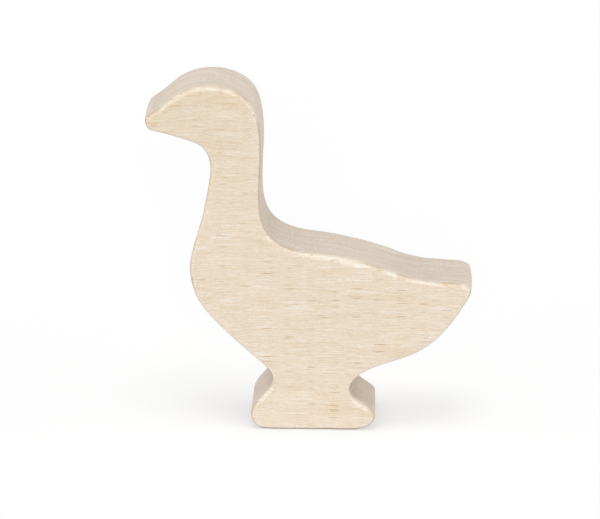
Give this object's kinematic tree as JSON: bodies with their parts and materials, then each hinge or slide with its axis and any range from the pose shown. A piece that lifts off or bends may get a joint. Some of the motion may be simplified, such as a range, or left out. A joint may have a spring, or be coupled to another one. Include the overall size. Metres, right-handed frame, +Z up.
{
  "type": "goose figurine",
  "caption": "Flat goose silhouette sawn from a thick beech board, standing on a foot block, with hand-eased edges.",
  "frame": {"origin": "middle of the sole, on the surface that the figurine stands on", "axes": "+Z up, -X the way the goose looks, and Y through the board, with the flat faces to -Y and +Y"},
  "size_m": [0.0868, 0.02, 0.097],
  "materials": {
    "beech": "sanded smooth and left bare"
  },
  "bodies": {
    "root": {"goose": "beech"}
  },
  "joints": []
}
